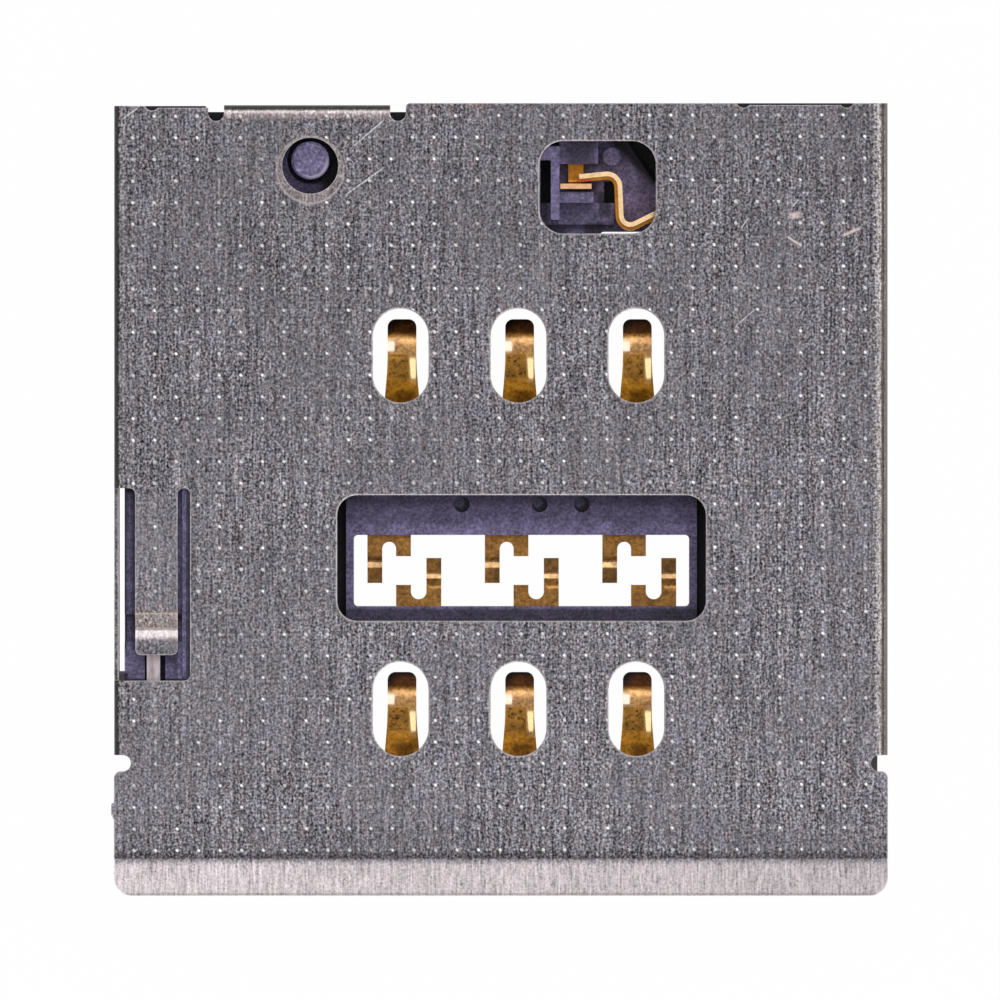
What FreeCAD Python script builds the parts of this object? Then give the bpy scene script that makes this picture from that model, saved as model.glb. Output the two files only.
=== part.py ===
import FreeCAD, Part
import math
import os

Vector = FreeCAD.Vector

# Card reader with a push-out tray: a folded steel cover over a moulded housing that holds six card contacts,
# a tray detect switch, and an eject rod and lever. All sizes are in millimetres.
# The origin is on the board, under the middle of the cover. X runs to the right, Y to the rear, Z up.
# The tray goes in from the front.

# Cover: outline, sheet and folds
cover_width = 16.68            # over the side walls
cover_length = 17.08           # lip to rear edge
cover_height = 1.48            # board to the top of the plate
sheet = 0.10                   # thickness of the steel
bend_inside = 0.12             # inside radius of a folded edge
wall_lift = 0.30               # lower edge of a wall above the board, between its feet
foot_length = 1.20
front_foot = 3.74              # middle of the front feet behind the front edge
rear_foot = 1.34               # middle of the rear feet in front of the rear edge
die_roll = 0.025               # bevel of the punched edges on the upper side

# Cover: front flap and flared lip
lip_length = 0.79
lip_rise = 0.25
lip_bend = 0.10                # inside radius of the crease
lip_corner = 0.40
notch_line = 2.85              # relief notch between side wall and flap, behind the front edge
notch_width = 0.35
notch_depth = 0.36
flap_corner = 0.14
stub_line = 1.81               # cut-off stub of the carrier strip on the left edge, behind the front
stub_length = 0.37
stub_reach = 0.06
stub_corner = 0.04
stub_slant = 0.12              # front end of the stub leans back

# Cover: rear edge
rear_wall_width = 3.58
rear_wall_shift = -0.07        # middle of the rear wall from the lever's post
rear_wall_inset = 0.04         # outer face of the rear wall inside the plate's edge
rear_notch_width = 0.34
rear_notch_depth = 0.385
rear_corner = 0.09             # plate's corner right of the rear wall
carrier_width = 2.225          # where the carrier strip was cut off, right of the rear wall
carrier_right = 0.885          # its right end inside the right edge
carrier_left = 0.82            # scallop inside the left edge, in the cut-off left of the rear wall
carrier_inset = 0.04
corner_inset = 0.06
scallop_radius = 0.155
scallop_depth = 0.10

# Cover: hold-down finger and the cut-out round it
finger_inset = 0.455           # left side of the finger inside the left edge
finger_width = 0.915
cutout_gap = 0.27              # cut-out past the finger's right side
cutout_line = 4.63             # front end of the cut-out behind the front edge
cutout_length = 4.15
cutout_corner = 0.13
finger_tip_gap = 0.55          # front end of the cut-out to the finger's tip
finger_tip_length = 0.34       # level end of the finger
finger_curl_length = 0.24      # from the level end to the lowest line
finger_slope_length = 0.36     # from the lowest line up to the plate
finger_rise = 0.075            # tip above the lowest line
finger_bend = 0.10
finger_tip_bend = 0.25         # where the curl levels out

# Cover: openings over the contacts, the switch and the pivot
slot_width = 1.20
slot_length = 2.03
window_corner = 0.43
window_side = 0.35             # cover window past the housing's centre opening, left and right
window_rear = 0.86
window_front = 0.31
switch_x = 0.83                # left edge of the window over the switch
switch_window_width = 2.51
switch_window_length = 1.995
switch_window_rear = 0.815     # in front of the rear edge
switch_corner = 0.52
pivot_hole_radius = 0.605
pivot_hole_shift = 0.115       # hole's centre in front of the post's
coin_radius = 0.72
coin_shift = 0.09              # coined ring's centre in front of the hole's
coin_depth = 0.02

# Card contacts
contact_pitch = 2.54
row_pitch = 7.62
contacts_x = 0.38              # middle column
contacts_y = -0.71             # half-way between the rows
contact_sheet = 0.12
strip_cover = 0.13             # plastic above the moulded-in strip
beam_shift = 0.025             # beams stand a little right of their slots
beam_width = 0.62
beam_root_width = 0.90
beam_flare = -0.20             # where the beam starts to widen towards its root, from the row's line
beam_flare_bend = 6.0
beam_tip = 0.79                # free end behind the row's line
beam_peak = 0.22               # corner of the crown behind the row's line
beam_peak_height = 1.045
beam_tip_height = 0.58
beam_peak_bend = 0.60
beam_root_bend = 0.30
tip_corner = 0.17

# Solder tails and carrier stubs of the contacts
rear_tail_shift = -0.566
front_tail_shift = 0.71
tail_width = 0.32
tail_reach = 1.04              # from the housing's edge to the end of the tail
tail_step_start = 0.40         # from the housing's edge to the first bend
tail_step_end = 0.60
tail_step_bend = 0.14          # middle line of the tail's two bends
stub_shift = 0.054
stub_width = 0.32
stub_out = 0.46
web_out = 0.15                 # strip shown between tail and stub
side_arm_near = 0.88           # front contacts: arm beside the window, from the column's line
side_arm_width = 0.30
front_bar_gap = 0.14           # front contacts: bar behind the housing's front
contact_shoulder = 0.55        # rear contacts: where the strip is as wide as the beam's root
strip_margin = 0.08            # plastic round the moulded-in strip

# Housing
housing_gap = 0.12             # to the cover's side walls
housing_front_inset = 0.98     # behind the lip's edge
floor = 0.45
left_rail = 0.33               # tray channel past the cut-out round the finger
right_rail = 0.62
tray_stop_inset = 2.39         # end of the tray channel in front of the rear edge
lead_in = 0.40
floor_chamfer = 0.18
opening_left = 1.02            # centre opening past the outer columns
opening_right = 1.15
rear_bar_width = 2.05          # floor between the rear windows and the centre opening
front_bar_depth = 0.83         # floor between the centre opening and the front windows
opening_corner = 0.09
rim_width = 0.165
sink_width = 0.60              # sunk floor outside the rims
sink_floor = 0.12
window_half_width = 0.78
window_root = 1.82             # windows reach this far in front of the row's line
rear_window_gap = 0.365         # rear windows end in front of the tray stop
front_window_end = 1.38
pin_mark_radius = 0.17
pin_mark_depth = 0.08
pin_mark_line = 0.66           # behind the centre opening
pin_marks = (-1.22, 0.46, 1.37)  # from the middle column
front_step_length = 2.36       # left side stands in over this length at the front
front_step_inset = 0.17
nub_length = 0.90
front_nub = 4.38               # middle of the front nubs behind the front edge
rear_nub = 4.14                # middle of the rear nubs in front of the rear edge
nub_reach = 0.20
nub_foot = 0.58
nub_height = 0.34
nub_edge = 0.08
snap_gap = 0.06                # round a nub in the wall's snap opening
rear_wall_gap = 0.03           # housing to the cover's rear wall
rear_recess_end = 0.40         # recess past the rear wall's ends

# Eject lever and its post
rod_to_pivot = 3.387           # across from the rod's line to the post
pivot_inset = 1.234            # post in front of the rear edge
post_radius = 0.41
post_rise = 0.04               # into the cover's hole
post_bevel = 0.05
lever_bore_gap = 0.09
hub_radius = 0.85
lever_lead = 15.0              # rod arm starts this many degrees in front of square
lever_swing = 25.0
lever_tip_radius = 0.30
lever_neck_radius = 0.20       # half the rod arm's width beside its round tip
lever_float = 0.05             # under the lever
lever_headroom = 0.18
push_arm_angle = 3.0
push_arm_length = 3.20
push_arm_radius = 0.32
push_nose = (0.10, -0.72)
push_nose_radius = 0.28
lever_arm_radius = 0.42
lever_clearance = 0.06
pillar_gap = 0.61              # from the push arm's end to the wall beside the switch

# Eject rod
rod_shift = -0.0695            # rod's line from the finger's
rod_width = 0.287
rod_height = 0.58
rod_rest = 0.07                # under side of the rod above the floor's top
rod_slack = 0.02
groove_left = 0.044            # groove past the rod's sides
groove_right = 0.112
rod_head_inset = 0.20          # behind the housing's front
rod_head_length = 0.26
rod_head_width = 0.70
rod_head_shift = 0.08
rod_pad_length = 0.11
rod_pad_width = 0.50
rod_gap = 0.03                 # between rod and lever
rod_edge = 0.03
rail_drop = 0.33               # rail's top under the plate, below the finger
finger_pocket_gap = 0.095      # pocket in the rail past the finger's right side
crease_pocket_length = 0.60
crease_pocket_depth = 0.20

# Detect switch
blade_left = 0.453             # from the left edge of the window
blade_width = 0.672
blade_line = 0.605             # behind the tray stop
blade_sheet = 0.11
blade_top = 1.10
blade_tab_width = 0.328
blade_bend = 0.10
blade_strip_length = 0.705     # from the blade to the bend down to the board
blade_foot_length = 0.80
blade_foot_gap = 0.16
spring_sheet = 0.10
spring_flank = 0.07            # flank of the strip, on the side of its nose
spring_flank_drop = 0.10       # flank's edge below the strip's
# corners of the spring from the window's left edge and the tray stop, with their bend radii
spring_corners = ((0.856, 0.812, 0.0), (1.725, 0.90, 0.28), (1.78, -0.34, 0.20),
                  (3.12, 0.33, 0.40), (4.77, 0.33, 0.0))
spring_float = 0.06            # spring above the blade's strip
spring_headroom = 0.22
spring_leg_inset = 0.15        # from the spring's anchored end
spring_leg_width = 0.50
switch_bay_shift = 0.02        # bay inside the left edge of the window
switch_bay_width = 3.75
switch_rear_wall = 0.46
rib_gap = 0.02                 # rib to the blade's side
rib_width = 0.185
rib_lead = 0.37                # rib in front of the blade's support
rib_length = 1.585
rib_headroom = 0.15
step_width = 1.60              # low step in front of the blade's support
step_depth = 0.465
step_height = 0.16
channel_depth = 0.30           # groove left of the rib, below the floor
channel_length = 0.915
pad_left = 1.565               # round pad's centre from the left edge of the window
pad_line = 1.25                # behind the tray stop
pad_radius = 0.21
pad_height = 0.28
support_depth = 0.30
support_gap = 0.065            # between the blade and its support
support_side = 0.04            # support past the blade's right end
support_headroom = 0.42
ledge_line = 1.09              # behind the tray stop
ledge_reach = 1.27             # from the left edge of the window
ledge_headroom = 0.50
nose_pocket_left = 1.40        # deep pocket beside the spring's nose, from the left edge of the window
nose_pocket_line = 0.22        # behind the tray stop
nose_pocket_width = 0.26
nose_pocket_length = 0.50
corner_pocket_rear = 1.67      # deep pocket in the right rear corner, from the left edge of the window
corner_pocket_front = 2.47
corner_pocket_line = 0.73      # behind the tray stop

# Places worked out from the sizes above
half_width = cover_width / 2
half_length = cover_length / 2
left_edge = -half_width
front_edge = -half_length
plate_under = cover_height - sheet
plate_middle = cover_height - sheet / 2
bend_middle = bend_inside + sheet / 2
wall_x = half_width - sheet / 2
housing_half = half_width - sheet - housing_gap
housing_front = front_edge + housing_front_inset
finger_x0 = left_edge + finger_inset
finger_x1 = finger_x0 + finger_width
cutout_x1 = finger_x1 + cutout_gap
cutout_front = front_edge + cutout_line
cutout_rear = cutout_front + cutout_length
finger_tip = cutout_front + finger_tip_gap
finger_curl_start = finger_tip + finger_tip_length
finger_crease = finger_curl_start + finger_curl_length
finger_slope_start = finger_crease + finger_slope_length
tray_left = cutout_x1 + left_rail
tray_right = housing_half - right_rail
tray_stop = half_length - tray_stop_inset
columns = [contacts_x + step * contact_pitch for step in (-1, 0, 1)]
rear_row = contacts_y + row_pitch / 2
front_row = contacts_y - row_pitch / 2
strip_top = floor - strip_cover
strip_middle = strip_top - contact_sheet / 2
opening_x0 = columns[0] - opening_left
opening_x1 = columns[2] + opening_right
opening_y1 = rear_row - window_root - rear_bar_width
opening_y0 = front_row + front_window_end + front_bar_depth
rod_x = (finger_x0 + finger_x1) / 2 + rod_shift
rod_head_front = housing_front + rod_head_inset
rod_bottom = floor + rod_rest
rod_top = rod_bottom + rod_height
pivot_x = rod_x + rod_to_pivot
pivot_y = half_length - pivot_inset
rod_arm = rod_to_pivot / math.cos(math.radians(lever_lead))
rod_tip_y = pivot_y - rod_arm * math.sin(math.radians(lever_lead))
rod_rear = rod_tip_y - lever_tip_radius - rod_gap
rod_travel = rod_arm * (math.sin(math.radians(lever_lead)) + math.sin(math.radians(lever_swing - lever_lead)))
lever_rear = rod_tip_y + rod_travel + lever_tip_radius
rail_end = rod_rear - rod_pad_length - rod_slack
pillar_left = pivot_x + push_arm_length + pillar_gap
corner_y = half_length - corner_inset
recess_x0 = pivot_x + rear_wall_shift - rear_wall_width / 2 - rear_recess_end
recess_x1 = recess_x0 + rear_wall_width + 2 * rear_recess_end
recess_y = half_length - rear_wall_inset - sheet - rear_wall_gap
blade_x0 = switch_x + blade_left
blade_x1 = blade_x0 + blade_width
blade_y = tray_stop + blade_line
blade_front = blade_y - blade_sheet / 2
blade_drop_y = blade_y + blade_strip_length
support_front = blade_front - support_depth
rib_x1 = blade_x0 - rib_gap
rib_x0 = rib_x1 - rib_width
rib_front = support_front - rib_lead
rib_rear = rib_front + rib_length
channel_rear = support_front + channel_length
bay_left = switch_x + switch_bay_shift
bay_right = bay_left + switch_bay_width
bay_rear = half_length - switch_rear_wall
spring_path = [(switch_x + x, tray_stop + y, bend) for x, y, bend in spring_corners]
spring_end_x, spring_end_y = spring_path[-1][:2]
spring_bottom = floor + blade_sheet + spring_float
spring_top = plate_under - spring_headroom
notch_rear = front_edge + notch_line + notch_width / 2
notch_front = notch_rear - notch_width
beyond = 1.0                   # how far a cutting solid reaches past what it cuts
same_point = 1e-6


# Solids from flat sketches


def sketch_point(plane, u, v):
    if plane == "XY":
        return Vector(u, v, 0)
    if plane == "XZ":
        return Vector(u, 0, v)
    return Vector(0, u, v)


def sketch_normal(plane, distance):
    if plane == "XY":
        return Vector(0, 0, distance)
    if plane == "XZ":
        return Vector(0, distance, 0)
    return Vector(distance, 0, 0)


def rounded_wire(points, radii):
    """Closed wire of straight runs, with a tangent arc at each corner that has a radius."""
    joints = []
    for index, (corner, radius) in enumerate(zip(points, radii)):
        if radius <= 0:
            joints.append((corner, None, corner))
            continue
        back = (points[index - 1] - corner).normalize()
        ahead = (points[(index + 1) % len(points)] - corner).normalize()
        half_angle = back.getAngle(ahead) / 2
        reach = radius / math.tan(half_angle)
        inward = (back + ahead).normalize()
        middle = corner + inward * (radius / math.sin(half_angle) - radius)
        joints.append((corner + back * reach, middle, corner + ahead * reach))
    edges = []
    for index, (arrive, middle, leave) in enumerate(joints):
        if middle is not None:
            edges.append(Part.Arc(arrive, middle, leave).toShape())
        target = joints[(index + 1) % len(joints)][0]
        if leave.distanceToPoint(target) > same_point:
            edges.append(Part.LineSegment(leave, target).toShape())
    return Part.Wire(edges)


def prism(plane, corners, start, end, radius=0.0):
    """Straight extrusion of a closed outline; a corner is (u, v), or (u, v, radius) for one of its own."""
    points = [sketch_point(plane, corner[0], corner[1]) for corner in corners]
    radii = [corner[2] if len(corner) == 3 else radius for corner in corners]
    face = Part.Face(rounded_wire(points, radii))
    face.translate(sketch_normal(plane, start))
    return face.extrude(sketch_normal(plane, end - start))


def bent_strip(plane, path, thickness, start, end, shift=0.0):
    """Folded sheet of even thickness; path holds corners and bend radii of a line along the sheet.

    The line is the sheet's middle, or lies shift to the right of it.
    """
    points = [Vector(u, v, 0) for u, v, radius in path]
    runs = [(ahead - here).normalize() for here, ahead in zip(points, points[1:])]
    left_reach = thickness / 2 + shift
    right_reach = thickness / 2 - shift
    left = []
    right = []
    for index, (u, v, radius) in enumerate(path):
        before = runs[max(index - 1, 0)]
        after = runs[min(index, len(runs) - 1)]
        across = Vector(-before.y - after.y, before.x + after.x, 0)
        side = across * (1 / (1 + before.dot(after)))
        turn = math.copysign(1, before.cross(after).z)
        left.append((u + side.x * left_reach, v + side.y * left_reach,
                     radius - turn * left_reach if radius else 0))
        right.append((u - side.x * right_reach, v - side.y * right_reach,
                      radius + turn * right_reach if radius else 0))
    return prism(plane, left + right[::-1], start, end)


def rectangle(x0, x1, y0, y1):
    return [(x0, y0), (x1, y0), (x1, y1), (x0, y1)]


def around(middle, size):
    return middle - size / 2, middle + size / 2


def block(x0, x1, y0, y1, z0, z1):
    return Part.makeBox(x1 - x0, y1 - y0, z1 - z0, Vector(x0, y0, z0))


def drum(x, y, radius, z0, z1):
    return Part.makeCylinder(radius, z1 - z0, Vector(x, y, z0))


def tapered_arm(x0, y0, radius0, x1, y1, radius1, z0, z1):
    """Two round ends joined by their common tangents."""
    lean = math.asin((radius0 - radius1) / math.hypot(x1 - x0, y1 - y0))
    heading = math.atan2(y1 - y0, x1 - x0)
    ends = ((x0, y0, radius0, 1), (x1, y1, radius1, 1), (x1, y1, radius1, -1), (x0, y0, radius0, -1))
    corners = []
    for x, y, radius, side in ends:
        angle = heading + side * (math.pi / 2 - lean)
        corners.append((x + radius * math.cos(angle), y + radius * math.sin(angle)))
    arm = prism("XY", corners, z0, z1)
    return arm.fuse([drum(x0, y0, radius0, z0, z1), drum(x1, y1, radius1, z0, z1)])


def whole(shape):
    """The one solid, with faces merged where they lie in one surface."""
    return shape.removeSplitter().Solids[0]


# Cover


def folded_plate():
    """Plate and side walls in one fold, trimmed at the board and lifted between the feet."""
    path = [(-wall_x, -beyond, 0), (-wall_x, plate_middle, bend_middle),
            (wall_x, plate_middle, bend_middle), (wall_x, -beyond, 0)]
    plate = bent_strip("XZ", path, sheet, notch_rear, half_length)
    wide = half_width + beyond
    trims = [block(-wide, wide, -wide, wide, -2 * beyond, 0)]
    edges = [notch_rear - beyond]
    front = front_edge + front_foot
    rear = half_length - rear_foot
    for centre in (front, (front + rear) / 2, rear):
        edges.extend(around(centre, foot_length))
    edges.append(half_length + beyond)
    for start, end in zip(edges[::2], edges[1::2]):
        trims.append(block(-wide, wide, start, end, -beyond, wall_lift))
    return plate.cut(trims)


def front_flap():
    """Flat front of the plate with its lip flared upwards, its corners rounded in plan."""
    crease = front_edge + lip_length
    path = [(notch_front + flap_corner, plate_middle, 0), (crease, plate_middle, lip_bend + sheet / 2),
            (crease - 2 * lip_length, plate_middle + 2 * lip_rise, 0)]
    flap = bent_strip("YZ", path, sheet, -half_width, half_width)
    plan = [(left_edge, front_edge, lip_corner), (half_width, front_edge, lip_corner),
            (half_width, notch_front, flap_corner), (left_edge, notch_front, flap_corner)]
    return flap.common(prism("XY", plan, 0, cover_height + lip_rise + sheet))


def relief_notches():
    """Round-ended notches that free the flap from the side walls."""
    notches = []
    for side in (-1, 1):
        outer = side * (half_width + beyond)
        inner = side * (half_width - notch_depth)
        corners = [(outer, notch_front), (inner, notch_front, notch_width / 2),
                   (inner, notch_rear, notch_width / 2), (outer, notch_rear)]
        notches.append(prism("XY", corners, -beyond, cover_height + beyond))
    return notches


def plate_openings():
    """Slots over the contacts, the window over the solder tails and the window over the switch."""
    low = plate_under - beyond
    high = cover_height + beyond
    cuts = []
    for x in columns:
        for y in (rear_row, front_row):
            corners = rectangle(*around(x, slot_width), *around(y, slot_length))
            cuts.append(prism("XY", corners, low, high, slot_width / 2))
    centre = rectangle(opening_x0 - window_side, opening_x1 + window_side,
                       opening_y0 - window_front, opening_y1 + window_rear)
    cuts.append(prism("XY", centre, low, high, window_corner))
    window_y1 = half_length - switch_window_rear
    switch = rectangle(switch_x, switch_x + switch_window_width, window_y1 - switch_window_length, window_y1)
    cuts.append(prism("XY", switch, low, high, switch_corner))
    return cuts


def roll_punched_edges(plate):
    """Bevel the upper edge of each closed opening, as the punch draws it in."""
    level = [face for face in plate.Faces
             if face.BoundBox.ZLength < same_point and abs(face.BoundBox.ZMax - cover_height) < same_point]
    top = max(level, key=lambda face: face.Area)
    inner = [wire for wire in top.Wires if not wire.isSame(top.OuterWire)]
    return plate.makeChamfer(die_roll, [edge for wire in inner for edge in wire.Edges])


def rear_edge(plate):
    """Rear wall folded down between two notches, and the places where the carrier strip was cut off."""
    x0, x1 = around(pivot_x + rear_wall_shift, rear_wall_width)
    wall_y = half_length - rear_wall_inset - sheet / 2
    past = half_length + beyond
    low = plate_under - sheet
    high = cover_height + beyond
    plate = plate.cut(block(x0, x1, wall_y - bend_middle, past, 0, cover_height + beyond))
    path = [(wall_y - 2 * bend_middle, plate_middle, 0), (wall_y, plate_middle, bend_middle),
            (wall_y, wall_lift, 0)]
    plate = plate.fuse(bent_strip("YZ", path, sheet, x0, x1))
    cuts = []
    for start, end in ((x0 - rear_notch_width, x0), (x1, x1 + rear_notch_width)):
        corners = [(start, half_length - rear_notch_depth, rear_notch_width / 2),
                   (end, half_length - rear_notch_depth, rear_notch_width / 2), (end, past), (start, past)]
        cuts.append(prism("XY", corners, low, high))
    corner_x = x1 + rear_notch_width
    corner_middle = half_length - rear_corner
    corner = block(corner_x, corner_x + rear_corner, corner_middle, past, low, high)
    cuts.append(corner.cut(drum(corner_x + rear_corner, corner_middle, rear_corner, low, high)))
    carrier_x1 = half_width - carrier_right
    carrier_x0 = carrier_x1 - carrier_width
    cuts.append(block(carrier_x0, carrier_x1, half_length - carrier_inset, past, low, high))
    left_end = x0 - rear_notch_width
    cuts.append(block(left_edge + carrier_left, left_end, corner_y - carrier_inset, past, low, high))
    cuts.append(block(left_edge - beyond, left_end, corner_y, past, -beyond, high))
    scallops = ((left_edge + carrier_left, corner_y), (carrier_x0, half_length), (carrier_x1, half_length))
    for x, edge in scallops:
        cuts.append(drum(x, edge - scallop_depth + scallop_radius, scallop_radius, low, high))
    return plate.cut(cuts)


def hold_down_finger():
    """Finger that dips to the eject rod and curls up again at its tip, with round roots in the plate."""
    low = rod_top + rod_slack + sheet / 2
    bend = finger_bend + sheet / 2
    path = [(cutout_rear + cutout_corner, plate_middle, 0), (finger_slope_start, plate_middle, bend),
            (finger_crease, low, bend), (finger_curl_start, low + finger_rise, finger_tip_bend + sheet / 2),
            (finger_tip - beyond, low + finger_rise, 0)]
    x0 = finger_x0
    x1 = finger_x1
    root = 2 * cutout_corner
    strip = bent_strip("YZ", path, sheet, x0 - root, x1 + root)
    corner = cutout_corner
    plan = [(x0 - root, cutout_rear + root), (x0 - root, cutout_rear), (x0, cutout_rear, corner),
            (x0, finger_tip, corner), (x1, finger_tip, corner), (x1, cutout_rear, corner),
            (x1 + root, cutout_rear), (x1 + root, cutout_rear + root)]
    return strip.common(prism("XY", plan, 0, cover_height + beyond))


def finger_cutout():
    """Plate and left shoulder cut away round the finger, so that the wall stands free beside it."""
    shoulder = plate_middle - bend_middle - sheet / 2
    corners = [(left_edge - beyond, cutout_front), (cutout_x1, cutout_front, cutout_corner),
               (cutout_x1, cutout_rear, cutout_corner), (left_edge - beyond, cutout_rear)]
    return prism("XY", corners, shoulder, cover_height + beyond)


def pivot_cuts():
    """Hole round the lever's post, in a shallow coined ring."""
    hole_y = pivot_y - pivot_hole_shift
    hole = drum(pivot_x, hole_y, pivot_hole_radius, plate_under - sheet, cover_height + beyond)
    coin = drum(pivot_x, hole_y - coin_shift, coin_radius, cover_height - coin_depth, cover_height + beyond)
    return [hole, coin]


def snap_openings():
    """Openings in both side walls for the housing's nubs."""
    cuts = []
    z0 = nub_foot - snap_gap
    z1 = nub_foot + nub_height + snap_gap
    for centre in (front_edge + front_nub, half_length - rear_nub):
        y0, y1 = around(centre, nub_length + 2 * snap_gap)
        cuts.append(block(housing_half, half_width + beyond, y0, y1, z0, z1))
        cuts.append(block(left_edge - beyond, -housing_half, y0, y1, z0, z1))
    return cuts


def steel_cover():
    neck = half_width - notch_depth + notch_width / 2
    bridge = block(-neck, neck, notch_front - flap_corner, notch_rear + flap_corner,
                   plate_under, cover_height)
    stub_y0, stub_y1 = around(front_edge + stub_line, stub_length)
    stub_x0 = left_edge - stub_reach
    stub_x1 = left_edge + notch_depth
    stub_plan = [(stub_x0, stub_y0 + stub_slant, stub_corner), (left_edge, stub_y0), (stub_x1, stub_y0),
                 (stub_x1, stub_y1), (stub_x0, stub_y1, stub_corner)]
    stub = prism("XY", stub_plan, plate_under, cover_height)
    plate = folded_plate().fuse([front_flap(), bridge, stub])
    plate = whole(plate.cut(relief_notches() + plate_openings()))
    plate = rear_edge(roll_punched_edges(plate))
    plate = plate.cut([finger_cutout()] + pivot_cuts() + snap_openings())
    return whole(plate.fuse(hold_down_finger()))


# Card contacts


def contact_beam(x, row):
    """Sprung beam: up from the floor strip to the crown, then down to its rounded free end."""
    root = row - window_root
    foot = root - 2 * strip_margin
    path = [(foot, strip_middle, 0), (root + strip_margin, strip_middle, beam_root_bend),
            (row + beam_peak, beam_peak_height, beam_peak_bend), (row + beam_tip, beam_tip_height, 0)]
    strip = bent_strip("YZ", path, contact_sheet, x - beam_root_width, x + beam_root_width)
    x0, x1 = around(x + beam_shift, beam_width)
    root_x0, root_x1 = around(x + beam_shift, beam_root_width)
    plan = [(root_x0, foot), (root_x1, foot), (root_x1, root), (x1, row + beam_flare, beam_flare_bend),
            (x1, row + beam_tip, tip_corner), (x0, row + beam_tip, tip_corner),
            (x0, row + beam_flare, beam_flare_bend), (root_x0, root)]
    return strip.common(prism("XY", plan, -beyond, cover_height + beyond))


def solder_tail(x, edge, heading):
    """Tail stepped down to the board; edge is where it leaves the housing, heading is 1 to the rear."""
    low = contact_sheet / 2
    path = [(edge - heading * web_out, strip_middle, 0),
            (edge + heading * tail_step_start, strip_middle, tail_step_bend),
            (edge + heading * tail_step_end, low, tail_step_bend), (edge + heading * tail_reach, low, 0)]
    return bent_strip("YZ", path, contact_sheet, *around(x, tail_width))


def floor_strip(corners):
    return prism("XY", corners, strip_middle - contact_sheet / 2, strip_top)


def rear_contact(x):
    """Contact of the rear row: its tail comes forward into the centre opening."""
    root = rear_row - window_root
    web = opening_y1 - web_out
    tail_x0, tail_x1 = around(x + rear_tail_shift, tail_width)
    stub_x0, stub_x1 = around(x + stub_shift, stub_width)
    base_x0, base_x1 = around(x + beam_shift, beam_root_width)
    gap_corner = (stub_x0 - tail_x1) / 2
    stub_y = opening_y1 - stub_out
    inside = opening_y1 + strip_margin
    shoulder = root - contact_shoulder
    strip = floor_strip([
        (tail_x0, web), (tail_x1, web - tail_width), (tail_x1, web, gap_corner), (stub_x0, web, gap_corner),
        (stub_x0, stub_y), (stub_x1, stub_y), (stub_x1, inside), (base_x1, shoulder), (base_x1, root),
        (base_x0, root), (base_x0, shoulder), (tail_x0, inside)])
    return whole(strip.fuse([contact_beam(x, rear_row), solder_tail(x + rear_tail_shift, opening_y1, -1)]))


def front_contact(x):
    """Contact of the front row: an arm beside the window joins the beam's root to the tail behind it."""
    root = front_row - window_root
    web = opening_y0 + web_out
    tail_x0, tail_x1 = around(x + front_tail_shift, tail_width)
    stub_x0, stub_x1 = around(x + stub_shift, stub_width)
    base_x0 = x + beam_shift - beam_root_width / 2
    arm_x0 = x + side_arm_near
    arm_x1 = arm_x0 + side_arm_width
    gap_corner = (tail_x0 - stub_x1) / 2
    stub_y = opening_y0 + stub_out
    inside = opening_y0 - strip_margin
    rear_web = opening_y0 - front_bar_depth + 2 * strip_margin
    bar_rear = root - strip_margin
    bar_front = housing_front + front_bar_gap
    strip = floor_strip([
        (stub_x0, stub_y), (stub_x0, rear_web), (arm_x0, rear_web), (arm_x0, bar_rear), (base_x0, bar_rear),
        (base_x0, bar_front), (arm_x1, bar_front), (arm_x1, inside), (tail_x1, inside), (tail_x1, web),
        (tail_x0, web + tail_width), (tail_x0, web, gap_corner), (stub_x1, web, gap_corner),
        (stub_x1, stub_y)])
    return whole(strip.fuse([contact_beam(x, front_row), solder_tail(x + front_tail_shift, opening_y0, 1)]))


# Detect switch


def detect_terminal():
    """Upright blade on a strip that runs to the rear and steps down through the floor to a solder foot."""
    strip_level = floor + blade_sheet / 2
    bend = blade_bend + blade_sheet / 2
    path = [(blade_y, blade_top, 0), (blade_y, strip_level, bend), (blade_drop_y, strip_level, bend),
            (blade_drop_y, blade_sheet / 2, bend), (blade_drop_y + blade_foot_length, blade_sheet / 2, 0)]
    strip = bent_strip("YZ", path, blade_sheet, *around((blade_x0 + blade_x1) / 2, blade_tab_width))
    blade = block(blade_x0, blade_x1, *around(blade_y, blade_sheet), strip_level + bend, blade_top)
    return whole(strip.fuse(blade))


def detect_spring():
    """On-edge strip: contact arm, nose that the tray pushes, and an anchor with its solder leg."""
    strip = bent_strip("XY", spring_path, spring_sheet, spring_bottom, spring_top)
    flank_width = spring_sheet / 2 + spring_flank
    flank = bent_strip("XY", spring_path, flank_width, spring_bottom, spring_top - spring_flank_drop,
                       -flank_width / 2)
    leg_x1 = spring_end_x - spring_leg_inset
    leg = block(leg_x1 - spring_leg_width, leg_x1, *around(spring_end_y, spring_sheet), 0, spring_top)
    return whole(strip.fuse([flank, leg]))


# Ejector


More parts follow.
